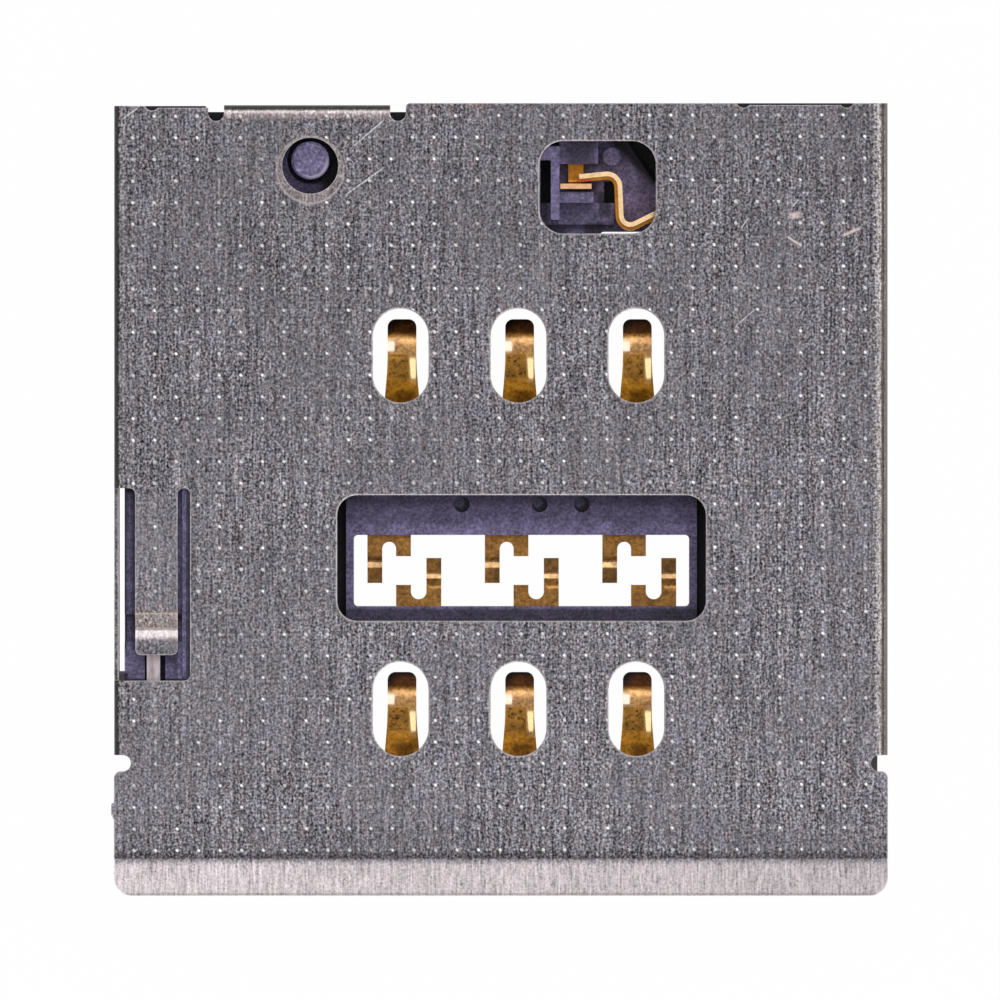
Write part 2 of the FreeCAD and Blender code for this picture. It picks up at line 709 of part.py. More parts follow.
def eject_lever():
    """Lever on the post: the rod pushes its left arm back, and its right arm's nose pushes the tray out."""
    z0 = floor + lever_float
    z1 = plate_under - lever_headroom
    push_x = pivot_x + push_arm_length * math.cos(math.radians(push_arm_angle))
    push_y = pivot_y + push_arm_length * math.sin(math.radians(push_arm_angle))
    nose_x = push_x + push_nose[0]
    nose_y = push_y + push_nose[1]
    arms = [tapered_arm(pivot_x, pivot_y, lever_arm_radius, rod_x, rod_tip_y, lever_neck_radius, z0, z1),
            drum(rod_x, rod_tip_y, lever_tip_radius, z0, z1),
            tapered_arm(pivot_x, pivot_y, lever_arm_radius, push_x, push_y, push_arm_radius, z0, z1),
            tapered_arm(push_x, push_y, push_arm_radius, nose_x, nose_y, push_nose_radius, z0, z1)]
    lever = drum(pivot_x, pivot_y, hub_radius, z0, z1).fuse(arms)
    return whole(lever.cut(drum(pivot_x, pivot_y, post_radius + lever_bore_gap, 0, cover_height)))


def eject_rod():
    """Flat bar with a pin head at the front and a pad against the lever at the rear."""
    bar_x0, bar_x1 = around(rod_x, rod_width)
    head_x0, head_x1 = around(rod_x + rod_head_shift, rod_head_width)
    pad_x0, pad_x1 = around(rod_x, rod_pad_width)
    head_rear = rod_head_front + rod_head_length
    pad_front = rod_rear - rod_pad_length
    corners = [(head_x0, rod_head_front), (head_x1, rod_head_front), (head_x1, head_rear),
               (bar_x1, head_rear), (bar_x1, pad_front), (pad_x1, pad_front), (pad_x1, rod_rear),
               (pad_x0, rod_rear), (pad_x0, pad_front), (bar_x0, pad_front), (bar_x0, head_rear),
               (head_x0, head_rear)]
    return prism("XY", corners, rod_bottom, rod_top, rod_edge)


# Housing


def housing_block():
    """Outline of the moulding up to the plate, with edges that clear the cover's folds, and the snap nubs."""
    step_x = -housing_half + front_step_inset
    step_y = housing_front + front_step_length
    corners = [(step_x, housing_front), (housing_half, housing_front), (housing_half, half_length),
               (recess_x1, half_length), (recess_x1, recess_y), (recess_x0, recess_y),
               (recess_x0, corner_y), (-housing_half, corner_y), (-housing_half, step_y), (step_x, step_y)]
    body = prism("XY", corners, 0, plate_under)
    cuts = []
    for side in (-1, 1):
        edge = side * housing_half
        slant = [(edge - side * bend_inside, plate_under), (edge, plate_under - bend_inside),
                 (edge, plate_under)]
        cuts.append(prism("XZ", slant, housing_front, half_length))
    body = body.cut(cuts)
    nubs = []
    for side in (-1, 1):
        section = [(side * housing_half, nub_foot), (side * (housing_half + nub_reach), nub_foot),
                   (side * (housing_half + nub_reach), nub_foot + nub_edge),
                   (side * housing_half, nub_foot + nub_height)]
        for centre in (front_edge + front_nub, half_length - rear_nub):
            nubs.append(prism("XZ", section, *around(centre, nub_length)))
    return body.fuse(nubs)


def tray_cuts():
    """Tray channel with its lead-ins, open to the front."""
    high = plate_under + beyond
    cuts = [block(tray_left, tray_right, housing_front - beyond, tray_stop, floor, high)]
    for edge, out in ((tray_left, -1), (tray_right, 1)):
        corners = [(edge, housing_front), (edge + out * lead_in, housing_front),
                   (edge, housing_front + lead_in)]
        cuts.append(prism("XY", corners, floor, high))
    slant = [(housing_front, floor), (housing_front + floor_chamfer, floor),
             (housing_front, floor - floor_chamfer)]
    cuts.append(prism("YZ", slant, tray_left, tray_right))
    return cuts


def floor_cuts():
    """Windows under the contacts, the opening over the solder tails, sunk floor beside it and pin marks."""
    high = floor + beyond
    cuts = []
    for x in columns:
        for row, end in ((rear_row, tray_stop - rear_window_gap), (front_row, front_row + front_window_end)):
            window = rectangle(x - window_half_width, x + window_half_width, row - window_root, end)
            cuts.append(prism("XY", window, -beyond, high, opening_corner))
    centre = rectangle(opening_x0, opening_x1, opening_y0, opening_y1)
    cuts.append(prism("XY", centre, -beyond, high, opening_corner))
    sink_y0 = opening_y0 - window_front - strip_margin
    sink_y1 = opening_y1 + window_rear + strip_margin
    for edge, out in ((opening_x0 - rim_width, -1), (opening_x1 + rim_width, 1)):
        x0, x1 = sorted((edge, edge + out * sink_width))
        cuts.append(block(x0, x1, sink_y0, sink_y1, sink_floor, high))
    mark_y = opening_y1 + pin_mark_line
    for x in pin_marks:
        cuts.append(drum(contacts_x + x, mark_y, pin_mark_radius, floor - pin_mark_depth, high))
    return cuts


def ejector_cuts():
    """Rod groove and head pocket in the left rail, room under the finger, and the lever's open bay."""
    high = plate_under + beyond
    groove_floor = rod_bottom - rod_slack
    head_x0, head_x1 = around(rod_x + rod_head_shift, rod_head_width + 2 * rod_slack)
    head_stop = rod_head_front + rod_head_length + rod_travel + rod_slack
    swing_left = pivot_x - rod_arm - lever_tip_radius - lever_clearance
    rail_top = plate_under - rail_drop
    left = -housing_half - beyond
    groove_x0 = rod_x - rod_width / 2 - groove_left
    groove_x1 = rod_x + rod_width / 2 + groove_right
    pocket_right = finger_x1 + finger_pocket_gap
    crease_y0, crease_y1 = around(finger_crease, crease_pocket_length)
    return [
        block(groove_x0, groove_x1, housing_front - beyond, rail_end, groove_floor, high),
        block(head_x0, head_x1, housing_front - beyond, head_stop, groove_floor, high),
        block(swing_left, pillar_left, rail_end, lever_rear + lever_clearance, floor, high),
        block(recess_x0, recess_x1, pivot_y, half_length, floor, high),
        block(left, pocket_right, cutout_front, cutout_rear, rail_top, high),
        block(left, pocket_right, crease_y0, crease_y1, rail_top - crease_pocket_depth, high)]


def switch_cuts():
    """Bay of the detect switch with its groove and pockets, and room for the spring and the solder foot."""
    high = plate_under + beyond
    anchor_y0, anchor_y1 = around(spring_end_y, spring_sheet)
    foot_x0, foot_x1 = around((blade_x0 + blade_x1) / 2, blade_tab_width + 2 * blade_foot_gap)
    nose_x = switch_x + nose_pocket_left
    nose_y = tray_stop + nose_pocket_line
    pocket_y = tray_stop + corner_pocket_line
    corner_pocket = [(switch_x + corner_pocket_front, pocket_y), (bay_right, pocket_y), (bay_right, bay_rear),
                     (switch_x + corner_pocket_rear, bay_rear)]
    return [
        block(bay_left, bay_right, tray_stop, bay_rear, floor, high),
        block(bay_left, rib_x0, support_front, channel_rear, floor - channel_depth, high),
        block(nose_x, nose_x + nose_pocket_width, nose_y, nose_y + nose_pocket_length, sink_floor, high),
        prism("XY", corner_pocket, sink_floor, high),
        block(bay_right, spring_end_x, anchor_y0, anchor_y1, spring_bottom, high),
        block(foot_x0, foot_x1, blade_drop_y + blade_sheet, half_length,
              -beyond, blade_sheet + blade_foot_gap)]


def switch_walls():
    """Rib and support beside the blade, a low step in front of it, a ledge over its strip, a round pad."""
    return [
        block(rib_x0, rib_x1, rib_front, rib_rear, floor, plate_under - rib_headroom),
        block(bay_left, rib_x1, channel_rear, rib_rear, floor, plate_under - rib_headroom),
        block(rib_x1, blade_x1 + support_side, support_front, blade_front - support_gap,
              floor, plate_under - support_headroom),
        block(bay_left, bay_left + step_width, support_front - step_depth, support_front,
              floor, floor + step_height),
        drum(switch_x + pad_left, tray_stop + pad_line, pad_radius, floor, floor + pad_height),
        block(rib_x1, switch_x + ledge_reach, tray_stop + ledge_line, bay_rear,
              floor, plate_under - ledge_headroom)]


def housing(held):
    """Moulding round the strips and pieces that it holds."""
    body = housing_block().cut(tray_cuts() + floor_cuts() + ejector_cuts() + switch_cuts())
    post_top = plate_under + post_rise
    post = drum(pivot_x, pivot_y, post_radius, floor, post_top - post_bevel)
    bevel = Part.makeCone(post_radius, post_radius - post_bevel, post_bevel,
                          Vector(pivot_x, pivot_y, post_top - post_bevel))
    body = body.fuse(switch_walls() + [post, bevel])
    return whole(body.cut(held))


def main():
    held = {"detect_spring": detect_spring(), "detect_terminal": detect_terminal()}
    for place, x in zip(("left", "middle", "right"), columns):
        held["rear_contact_" + place] = rear_contact(x)
        held["front_contact_" + place] = front_contact(x)
    pieces = {"steel_cover": steel_cover(), "housing": housing(list(held.values())),
              "eject_lever": eject_lever(), "eject_rod": eject_rod(), **held}
    os.makedirs("parts", exist_ok=True)
    for name, shape in pieces.items():
        shape.exportStep(os.path.join("parts", name + ".step"))
        print(name, len(shape.Solids), shape.isValid(), round(shape.Volume, 4), shape.BoundBox)


main()
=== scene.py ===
import math

import bmesh
import bpy
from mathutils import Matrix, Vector

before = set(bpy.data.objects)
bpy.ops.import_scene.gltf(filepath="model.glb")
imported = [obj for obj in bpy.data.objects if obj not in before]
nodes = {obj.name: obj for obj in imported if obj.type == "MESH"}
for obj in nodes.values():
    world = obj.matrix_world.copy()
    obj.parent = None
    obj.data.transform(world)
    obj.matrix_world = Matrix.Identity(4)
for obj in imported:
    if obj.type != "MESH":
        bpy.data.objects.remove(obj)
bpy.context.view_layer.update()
mm = 0.001
print("loaded", len(nodes), "pieces")


# Shader maths: a wire is one output socket, and sums on wires add Math nodes; noises lie about 0.5

class Wire:
    def __init__(self, sheet, socket):
        self.sheet = sheet
        self.socket = socket

    def calc(self, operation, *values, clamp=False):
        return self.sheet.node("ShaderNodeMath", {"operation": operation, "use_clamp": clamp}, values)

    def __add__(self, other):
        return self.calc("ADD", self, other)

    def __radd__(self, other):
        return self.calc("ADD", other, self)

    def __sub__(self, other):
        return self.calc("SUBTRACT", self, other)

    def __rsub__(self, other):
        return self.calc("SUBTRACT", other, self)

    def __mul__(self, other):
        return self.calc("MULTIPLY", self, other)

    def __rmul__(self, other):
        return self.calc("MULTIPLY", other, self)

    def __truediv__(self, other):
        return self.calc("DIVIDE", self, other)

    def __pow__(self, other):
        return self.calc("POWER", self, other)

    def __abs__(self):
        return self.calc("ABSOLUTE", self)

    def unit(self):
        return self.calc("ADD", self, 0, clamp=True)

    def most(self, other):
        return self.calc("MAXIMUM", self, other)

    def nearest(self):
        return self.calc("ROUND", self)

    def wrap(self, width):                                # repeats from -width / 2 to width / 2
        return self.calc("WRAP", self, width / 2, -width / 2)

    def ramp(self, start, end, low=0.0, high=1.0):        # smooth step from low to high
        return self.sheet.node("ShaderNodeMapRange", {"interpolation_type": "SMOOTHSTEP"}, {
            "Value": self, "From Min": start, "From Max": end, "To Min": low, "To Max": high})

    def fall(self, start, end):                           # smooth step from 1 to 0
        return self.ramp(start, end, 1.0, 0.0)

    def band(self, start, end, soft):                     # 1 between start and end
        return self.ramp(start - soft, start + soft) * self.fall(end - soft, end + soft)


class Sheet:
    def __init__(self, tree):
        self.tree = tree
        tree.nodes.clear()

    def node(self, kind, settings=None, inputs=(), output=0):
        made = self.tree.nodes.new(kind)
        for name, value in (settings or {}).items():
            setattr(made, name, value)
        pairs = inputs.items() if isinstance(inputs, dict) else enumerate(inputs)
        for key, value in pairs:
            if isinstance(value, Wire):
                self.tree.links.new(value.socket, made.inputs[key])
            else:
                made.inputs[key].default_value = value
        return Wire(self, made.outputs[output]) if made.outputs else None

    def split(self, vector):
        made = self.node("ShaderNodeSeparateXYZ", inputs=[vector])
        return [Wire(self, socket) for socket in made.socket.node.outputs]

    def stretch(self, vector, scale):
        return self.node("ShaderNodeMapping", inputs={"Vector": vector, "Scale": scale})

    def places(self):                                     # the piece's own millimetres
        coord = self.node("ShaderNodeTexCoord", output="Object")
        return self.stretch(coord, (1 / mm, 1 / mm, 1 / mm))

    def normal(self):
        return self.node("ShaderNodeNewGeometry", output="Normal")

    def facing(self):                                     # how far a face points up, 1 to -1
        return self.split(self.normal())[2]

    def measure(self, operation, first, second):          # a number from two vectors
        return self.node("ShaderNodeVectorMath", {"operation": operation}, [first, second], output="Value")

    def edges(self, radius, agreement):                   # 1 on the sharp edges of a piece
        rounded = self.node("ShaderNodeBevel", {"samples": 8}, {"Radius": radius * mm})
        return self.measure("DOT_PRODUCT", rounded, self.normal()).fall(*agreement)

    def noise(self, vector, scale, detail, rough):        # scale is a number, or one for each direction
        if isinstance(scale, tuple):
            vector, scale = self.stretch(vector, scale), 1.0
        return self.node("ShaderNodeTexNoise", inputs={
            "Vector": vector, "Scale": scale, "Detail": detail, "Roughness": rough})

    def toPoint(self, place, x, y):                       # distance in plan from a point
        return self.measure("DISTANCE", self.stretch(place, (1, 1, 0)), (x, y, 0))

    def past(self, place, point, direction):              # distance in plan past a point, one way
        (x, y), (dx, dy) = point, direction
        return self.measure("DOT_PRODUCT", place, (dx, dy, 0)) - (x * dx + y * dy)

    def mix(self, share, first, second, blend="MIX"):
        return self.node("ShaderNodeMix", {"data_type": "RGBA", "blend_type": blend, "clamp_factor": True},
                         {0: share, 6: colour(first), 7: colour(second)}, output=2)

    def shade(self, tint, value):                         # a colour times a number
        return self.node("ShaderNodeVectorMath", {"operation": "SCALE"}, {0: tint, "Scale": value})

    def bump(self, height, strength, distance):
        return self.node("ShaderNodeBump", inputs={
            "Height": height, "Strength": strength, "Distance": distance})

    def lean(self, share, normal):                        # rounded spots that lean to the rear
        return self.node("ShaderNodeMix", {"data_type": "VECTOR"}, {0: share, 4: normal, 5: rolled},
                         output=1)

    def finish(self, **inputs):
        shader = self.node("ShaderNodeBsdfPrincipled", inputs={
            name.replace("_", " "): value for name, value in inputs.items()})
        self.node("ShaderNodeOutputMaterial", inputs={"Surface": shader})


rolled = (0.07, 0.36, 0.93)                               # the way that rolled edges and raised marks face


def colour(value):
    return value if isinstance(value, Wire) else (*value, 1)


def newMaterial(name):
    material = bpy.data.materials.new(name)
    material.use_nodes = True
    return material, Sheet(material.node_tree)


def dress(names, material):
    for name in names:
        nodes[name].data.materials.clear()
        nodes[name].data.materials.append(material)


# Folded steel cover: its finish, then places in millimetres, mostly as the start and end of a soft edge

# the bend, fold, rim and curl tints are painted highlights, and the dark, flank and wall tints are painted
# shade; the coined ring also takes the bend tint
steel = {
    "plate": (0.358, 0.345, 0.377), "lip": (0.487, 0.438, 0.450), "bend": (0.56, 0.48, 0.48),
    "fold": (0.72, 0.66, 0.65), "rim": (0.92, 0.85, 0.84), "dark": (0.045, 0.044, 0.043),
    "flank": (0.05, 0.044, 0.038), "wall": (0.20, 0.175, 0.152), "curlHighlight": (0.72, 0.64, 0.655),
    "markAndGlint": (1.0, 1.0, 1.0), "scuff": (1.0, 0.83, 0.80),
    "warm": (1.04, 0.985, 0.97), "cool": (0.97, 0.985, 1.035), "hueRange": (0.34, 0.66),
    "stain": (0.95, 0.80, 0.68), "tan": (1.10, 1.02, 0.90),
    "roughness": 0.42, "roughDepth": 0.25, "bump": 0.25, "bumpHeight": 0.004 * mm,
    "gamma": 2.2, "darkest": 0.2, "wallCalm": (0.2, 0.7, 0.5, 1.0), "patches": (0.35, 0.65, 0.8, 1.15),
    "cloud": (0.90, 0.18), "frontLight": 0.0155,
}
# noises in the steel: scale, detail and roughness, and how deep each one is in the plate and in the lip
grains = {
    "grain": ((21.0, 9.0, 8.0), 2.0, 0.6), "streak": ((19.0, 0.9, 0.9), 1.0, 0.5),
    "speckle": (19.0, 1.0, 0.5), "hue": (4.5, 3.0, 0.6), "cloud": (1.7, 2.0, 0.5), "patchy": (0.5, 1.0, 0.5),
    "lipShort": ((20.0, 3.2, 3.2), 3.0, 0.7), "lipLong": ((18.0, 0.6, 0.6), 2.0, 0.6),
    "lipBroad": ((2.2, 0.3, 0.3), 2.0, 0.6),
}
plateDepths = {"grain": 1.45, "speckle": 1.6, "streak": 0.8}
lipDepths = {"lipShort": 1.7, "lipLong": 1.3, "speckle": 1.6, "lipBroad": 0.4}
# coats over the plate, mostly painted highlights and painted shade, and the marks, scratches and scuffs:
# tint, share, and how light they are without and with the grain
coats = {
    "ring": ("bend", 0.75, 0.35, 0.60), "ringEdgeHighlight": ("fold", 0.55, 1.0, 0.0),
    "rear": ("bend", 0.90, 0.50, 0.50), "rearFoldShade": ("dark", 0.97, 0.70, 0.40),
    "right": ("fold", 0.85, 0.10, 0.95), "flank": ("flank", 0.95, 0.70, 0.40),
    "wall": ("wall", 1.0, 1.0, 0.0),
    "left": ("fold", 0.35, 0.0, 1.0), "leftFoldShade": ("dark", 0.97, 0.56, 0.32),
    "fingerWallShade": ("dark", 1.0, 1.0, 0.0), "fingerWallHighlight": ("rim", 1.0, 1.0, 0.0),
    "curlHighlight": ("curlHighlight", 0.95, 0.60, 0.40), "rim": ("rim", 1.0, 1.0, 0.0), "cutFaceShade": ("dark", 0.7, 1.0, 0.0),
    "markAndGlint": ("markAndGlint", 1.0, 1.0, 0.0), "scuff": ("scuff", 1.0, 1.0, 0.0),
}
coin = {"centre": (-4.11, 7.10), "radius": 0.72, "soft": 0.01, "edge": (0.014, 0.035),
        "frontLight": (6.3, 7.2, 1.0, 0.4)}
lip = {"start": (-7.915, -7.735), "wander": 0.35, "edge": (-8.53, -8.45, 0.55, 1.0), "dimRight": 0.0168,
       "dimming": (-7.74, -7.50, 0.47, 1.0), "dimmingWander": 0.3, "before": (-7.4, -6.6, 0.89, 1.0)}
# the sides' folds are measured outwards from the start of the fold
folds = {"side": 8.12, "front": (-5.70, -5.66), "height": (1.20, 1.26),
         "rearWide": (-5.97, -2.39, 0.01), "rear": (8.17, 8.25), "rearFoldShade": (8.36, 8.425),
         "right": (-0.09, 0.01), "rightWander": 0.2, "flank": (0.04, 0.10), "flankEnd": (0.145, 0.17),
         "wall": (0.15, 0.17), "left": (0.0, 0.10, 0.02), "leftFoldShade": (0.09, 0.14), "leftWander": 0.06,
         "wallSide": (-0.02, 0.0), "wallLong": (-3.95, 0.25, 0.03), "fingerWallShade": (0.15, 0.22, 0.1, 0.75),
         "fingerWallHighlight": (0.10, 0.17), "wallFacing": (0.5, 0.9)}
finger = {"wide": (-7.97, -6.95, 0.02), "long": (-3.40, 0.15, 0.15), "calm": 0.25,
          "level": (-3.05, -2.90, -0.09, 0.09), "slope": (-2.80, -2.39, 0.04),
          "crease": (-2.80, -2.765, 0.01),
          "curlRear": (-2.82, -2.77), "curlFront": (-3.12, -2.93), "curlHeight": (1.05, 1.35, 0.02),
          "bareEdge": (-7.25, -7.20)}
rims = {"width": 0.06, "agreement": (0.90, 0.995), "flatFacing": (0.5, 0.9), "above": (1.05, 1.15),
        "roundFacing": (0.45, 0.92, 0.05), "roundHeight": (1.448, 1.478, 0.003), "sideFold": (-0.12, -0.02),
        "grain": (0.35, 0.6, 0.5, 0.9), "offLip": 0.6, "cutFacing": (0.15, 0.35), "cutAbove": (1.35, 1.37)}
stain = {"wide": (-1.75, -0.2, 0.3), "long": (8.2, 8.36), "hue": (0.4, 0.6), "share": 0.6}
top = {"facing": (0.9, 0.98), "above": (1.4, 1.44)}
dots = {"pitch": (0.4642, 0.4656), "place": (-0.031, -0.107), "turn": 0.0021, "long": 300, "wide": 480,
        "size": (0.3, 1.7), "wear": (0.0, 0.40, 0.20, 1.0), "core": (0.0, 0.7), "shine": (0.35, 0.9),
        "fade": (0.36, 0.5, 0.65, 1.0), "ringGap": 0.05, "sideGap": (-0.06, -0.03)}
# scratches and broad scuffs: two ends in millimetres, and the half width
scratches = [(-3.23, 7.57, -2.54, 8.16, 0.014), (-3.32, 6.58, -2.54, 7.14, 0.014),
             (5.07, 3.74, 5.46, 4.08, 0.010), (-8.15, 8.20, -7.80, 8.46, 0.016),
             (6.28, 6.30, 6.40, 6.45, 0.012), (-2.39, 4.40, -2.36, 4.60, 0.03),
             (4.58, 6.63, 4.74, 6.77, 0.010), (5.17, 5.83, 5.32, 6.05, 0.012),
             (4.70, 7.57, 4.76, 7.66, 0.012)]
scuffs = [(6.22, 6.10, 6.44, 6.14, 0.060), (7.38, 5.69, 7.75, 5.85, 0.028), (6.16, 5.67, 6.42, 5.50, 0.022)]
scratch = {"core": 0.4, "edge": 1.8, "endSoft": 0.08, "scuffGrain": (0.3, 0.5, 0.6, 0.95),
           "lineGrain": (0.35, 0.5, 0.35, 0.8)}


def scratchMask(sheet, place, x0, y0, x1, y1, halfWidth):
    length = math.hypot(x1 - x0, y1 - y0)
    dx, dy = (x1 - x0) / length, (y1 - y0) / length
    across = abs(sheet.past(place, (x0, y0), (-dy, dx)))
    along = sheet.past(place, (x0, y0), (dx, dy))
    line = across.fall(halfWidth * scratch["core"], halfWidth * scratch["edge"])
    return line * along.band(0, length, scratch["endSoft"])


def dotMasks(sheet, x, y):                                # slanted marks on a grid, and their bright cores
    pitchX, pitchY = dots["pitch"]
    dx = x + dots["turn"] * y - dots["place"][0]
    dy = y - dots["turn"] * x - dots["place"][1]
    cell = sheet.node("ShaderNodeCombineXYZ", inputs=[(dx / pitchX).nearest(), (dy / pitchY).nearest()])
    wear = sheet.node("ShaderNodeTexWhiteNoise", {"noise_dimensions": "2D"}, {"Vector": cell})
    dx, dy = dx.wrap(pitchX), dy.wrap(pitchY)
    long, wide = dx - dy, dx + dy
    size = long * long * dots["long"] + wide * wide * dots["wide"]
    marks = size.fall(*dots["size"]) * wear.ramp(*dots["wear"])
    cores = size.fall(*dots["core"]) * wear.ramp(*dots["shine"])
    return marks, cores


class CoverSteel:
    def __init__(self):
        self.material, self.sheet = newMaterial("brushed_cover_steel")
        self.place = self.sheet.places()
        self.x, self.y, self.z = self.sheet.split(self.place)
        self.up = self.sheet.facing()
        self.noise = {name: self.sheet.noise(self.place, *values) for name, values in grains.items()}
        self.fingerWide = self.x.band(*finger["wide"])
        self.onFinger = self.fingerWide * self.y.band(*finger["long"])
        self.onLip = (self.y + lip["wander"] * (self.noise["grain"] - 0.5)).fall(*lip["start"])
        self.upper = self.z.ramp(*folds["height"])
        self.sides = self.y.ramp(*folds["front"]) * self.upper
        self.rearFold = self.y.ramp(*folds["rear"]) * self.x.band(*folds["rearWide"]) * self.upper
        self.ring = self.sheet.toPoint(self.place, *coin["centre"])
        self.texture = self.plateTexture()

    def grit(self, depths):                               # several noises added up, about 0
        return sum(depth * (self.noise[name] - 0.5) for name, depth in depths.items())

    def plateTexture(self):                               # weaker on the walls and on the finger
        calm = (1 - finger["calm"] * self.onFinger) * abs(self.up).ramp(*steel["wallCalm"])
        fine = self.grit(plateDepths) * self.noise["patchy"].ramp(*steel["patches"])
        return (1 + fine * calm).most(steel["darkest"]) ** steel["gamma"]

    def coat(self, skin, name, mask):
        tint, share, low, gain = coats[name]
        return self.sheet.mix(mask * share, skin, self.sheet.shade(steel[tint], low + gain * self.texture))

    def plate(self):                                      # painted light, lighter to the front; darker just before the lip
        y, noise = self.y, self.noise
        dimming = (y + lip["dimmingWander"] * (noise["speckle"] - 0.5)).ramp(*lip["dimming"])
        dimming = dimming * y.ramp(*lip["before"])
        least, gain = steel["cloud"]
        value = self.texture * (least + gain * noise["cloud"]) * (1 - steel["frontLight"] * y) * dimming
        # painted shade on the finger's tip and painted light on the part behind it
        value = value * (1 + self.onFinger * y.ramp(*finger["level"]))
        tint = self.sheet.mix(noise["hue"].ramp(*steel["hueRange"]), steel["cool"], steel["warm"])
        return self.sheet.shade(self.sheet.mix(1.0, tint, steel["plate"], "MULTIPLY"), value)

    def coinedRing(self, skin):                           # round the pivot hole, with a painted highlight along its edge, strongest at the front
        radius, soft = coin["radius"], coin["soft"]
        skin = self.coat(skin, "ring", self.ring.fall(radius - soft, radius + soft))
        edge = abs(self.ring - radius).fall(*coin["edge"])
        return self.coat(skin, "ringEdgeHighlight", edge * self.y.ramp(*coin["frontLight"]))

    def flaredLip(self, skin):                            # bare steel with long grain, darker to the right and at its front edge
        value = (1 - lip["dimRight"] * self.x) * (1 + self.grit(lipDepths)) * self.y.ramp(*lip["edge"])
        return self.sheet.mix(self.onLip, skin, self.sheet.shade(steel["lip"], value))

    def paintedFoldLightAndShade(self, skin):                          # painted highlights on the folds, and painted shade on their outer flanks and walls
        right, left = self.x - folds["side"], -folds["side"] - self.x
        wander = self.noise["speckle"] - 0.5
        skin = self.coat(skin, "rear", self.rearFold)
        rightLight = (right + folds["rightWander"] * wander).ramp(*folds["right"])
        skin = self.coat(skin, "right", rightLight * self.sides)
        skin = self.coat(skin, "rearFoldShade", self.y.ramp(*folds["rearFoldShade"]) * self.rearFold)
        skin = self.coat(skin, "left", left.band(*folds["left"]) * self.sides)
        leftFoldShade = (left - folds["leftWander"] * wander).ramp(*folds["leftFoldShade"])
        skin = self.coat(skin, "leftFoldShade", leftFoldShade * self.sides)
        flank = right.ramp(*folds["flank"]) * right.fall(*folds["flankEnd"])
        skin = self.coat(skin, "flank", flank * self.sides)
        skin = self.coat(skin, "wall", right.ramp(*folds["wall"]) * self.sides)
        wallTop = left.ramp(*folds["wallSide"]) * self.y.band(*folds["wallLong"])    # beside the finger
        wallTop = wallTop * (1 - self.upper) * self.up.ramp(*folds["wallFacing"])
        # painted shade on the wall strip beside the finger, and a painted highlight along its rim
        skin = self.coat(skin, "fingerWallShade", wallTop * left.ramp(*folds["fingerWallShade"]))
        return self.coat(skin, "fingerWallHighlight", wallTop * left.fall(*folds["fingerWallHighlight"]))

    def fingerAndRims(self, skin):
        sheet, y, z, up = self.sheet, self.y, self.z, self.up
        # painted highlight on the finger's curl
        curlHighlight = y.ramp(*finger["curlFront"]) * y.fall(*finger["curlRear"])
        skin = self.coat(skin, "curlHighlight", curlHighlight * self.fingerWide * z.band(*finger["curlHeight"]))
        # painted highlights on punched and sheared rims and along the finger's crease
        punched = up.band(*rims["roundFacing"]) * z.band(*rims["roundHeight"])
        above = z.ramp(*rims["above"])
        sheared = sheet.edges(rims["width"], rims["agreement"]) * above * up.ramp(*rims["flatFacing"])
        onSide = self.sides * (abs(self.x) - folds["side"]).ramp(*rims["sideFold"])
        rim = punched.most(sheared) * (1 - onSide) * (1 - self.rearFold)
        rim = rim.most(self.fingerWide * y.band(*finger["crease"]) * above)
        rim = rim * self.noise["grain"].ramp(*rims["grain"]) * (1 - rims["offLip"] * self.onLip)
        skin = self.coat(skin, "rim", rim)
        skin = sheet.mix(self.fingerWide * y.band(*finger["slope"]), skin, steel["tan"], "MULTIPLY")
        # painted shade on the upright cut faces
        return self.coat(skin, "cutFaceShade", abs(up).fall(*rims["cutFacing"]) * z.ramp(*rims["cutAbove"]))

    def stained(self, skin):                              # brown beside the rear wall
        mask = self.x.band(*stain["wide"]) * self.y.ramp(*stain["long"])
        mask = mask * self.noise["hue"].ramp(*stain["hue"])
        return self.sheet.mix(mask * stain["share"], skin, steel["stain"], "MULTIPLY")

    def marked(self, skin):                               # grid marks, scuffs and scratches, painted white: painted highlights on real marks
        noise = self.noise
        onTop = self.up.ramp(*top["facing"]) * self.z.ramp(*top["above"])
        onGrid = onTop * (1 - self.onLip) * self.ring.ramp(coin["radius"], coin["radius"] + dots["ringGap"])
        onGrid = onGrid * (abs(self.x) - folds["side"]).fall(*dots["sideGap"])
        onGrid = onGrid * (1 - self.onFinger * self.x.ramp(*finger["bareEdge"]))
        marks, cores = dotMasks(self.sheet, self.x, self.y)
        markAndGlint = marks * onGrid * noise["patchy"].ramp(*dots["fade"])
        skin = self.coat(skin, "markAndGlint", markAndGlint)
        for name, lines, share in (("scuff", scuffs, "scuffGrain"), ("markAndGlint", scratches, "lineGrain")):
            worn = onTop * noise["grain"].ramp(*scratch[share])
            for line in lines:
                mask = scratchMask(self.sheet, self.place, *line) * worn
                skin = self.coat(skin, name, mask)
                markAndGlint = markAndGlint.most(mask)
        return skin, markAndGlint, cores * onGrid

    def make(self):
        skin = self.plate()
        for layer in (self.coinedRing, self.flaredLip, self.paintedFoldLightAndShade, self.fingerAndRims, self.stained):
            skin = layer(skin)
        skin, markAndGlint, cores = self.marked(skin)
        grain, speckle = self.noise["grain"], self.noise["speckle"]
        brushed = self.sheet.bump(grain + speckle, steel["bump"], steel["bumpHeight"])
        self.sheet.finish(Base_Color=skin, Metallic=(1 - markAndGlint).most(cores),
                          Normal=self.sheet.lean(cores, brushed),
                          Roughness=steel["roughness"] + steel["roughDepth"] * (speckle - 0.5))
        dress(["steel_cover"], self.material)


# Moulded housing and lever

